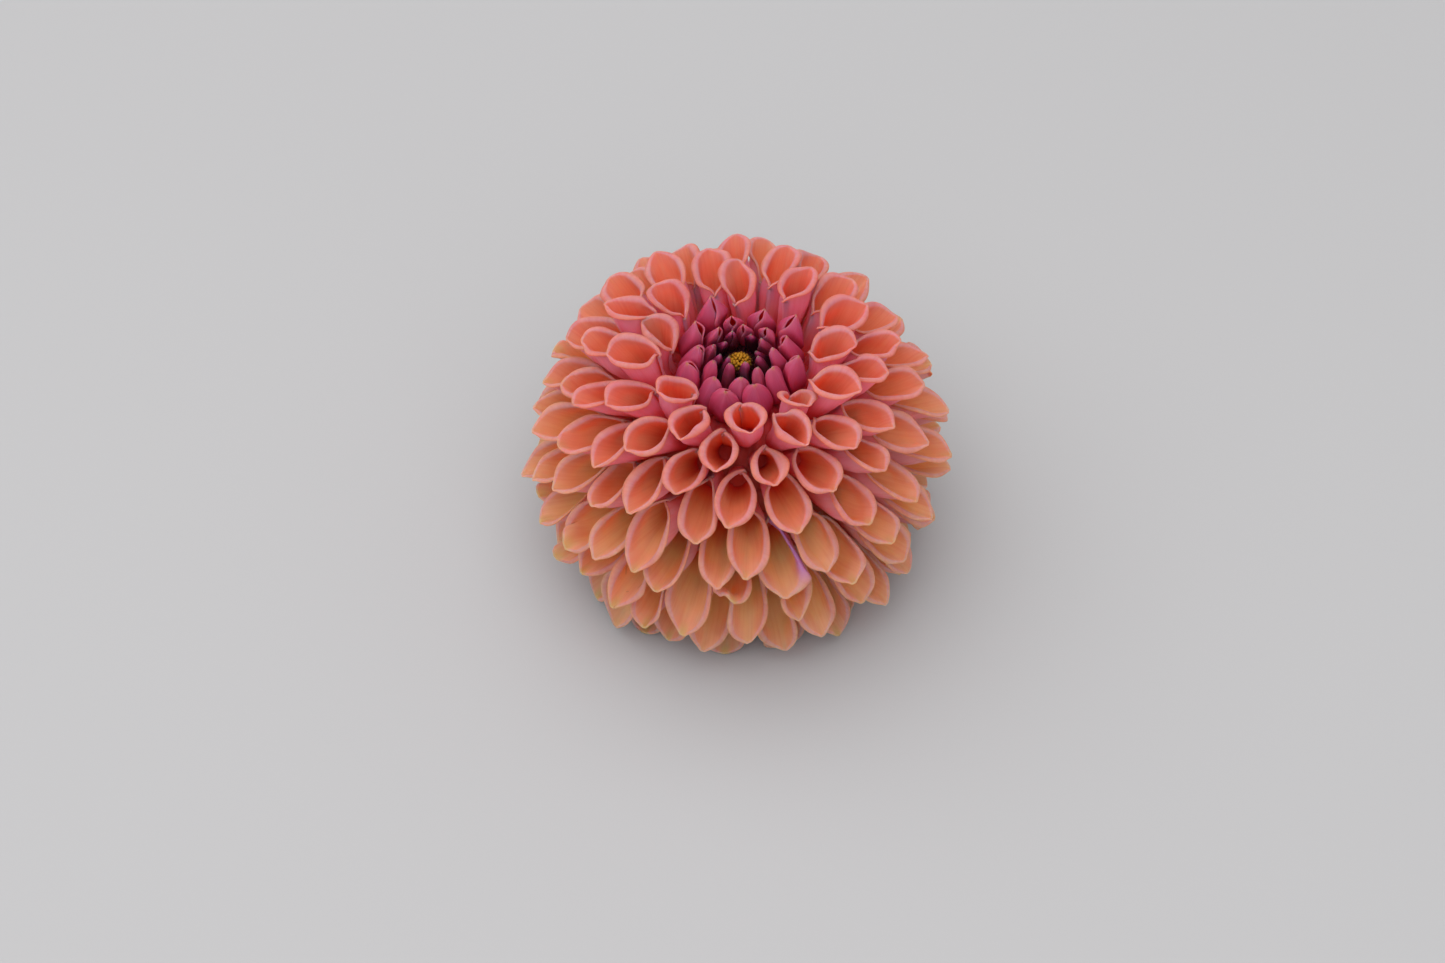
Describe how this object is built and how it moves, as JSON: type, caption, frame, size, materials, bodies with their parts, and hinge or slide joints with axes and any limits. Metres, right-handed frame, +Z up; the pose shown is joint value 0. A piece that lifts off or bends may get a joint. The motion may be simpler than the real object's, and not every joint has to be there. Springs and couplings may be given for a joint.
{
  "type": "dahlia bloom",
  "caption": "Cut ball dahlia bloom lying on its back, face up: rolled peach to coral petals round a magenta crown and a small yellow eye.",
  "frame": {"origin": "on the surface that the bloom rests on, under the middle of its outline", "axes": "+Z up, along the bloom's axis towards its face; +X and +Y level, with the pictured side towards -Y"},
  "size_m": [0.09, 0.0889, 0.0639],
  "materials": {
    "peach_petal": "satin",
    "coral_petal": "satin",
    "magenta_petal": "satin",
    "yellow_disc": "matte",
    "green_flesh": "satin",
    "green_bract": "satin",
    "green_stem": "satin"
  },
  "bodies": {
    "root": {"ray_florets_outer": "peach_petal", "ray_florets_middle": "coral_petal", "ray_florets_inner": "magenta_petal", "disc_florets": "yellow_disc", "receptacle": "green_flesh", "bracts": "green_bract", "stem_stub": "green_stem"}
  },
  "joints": []
}
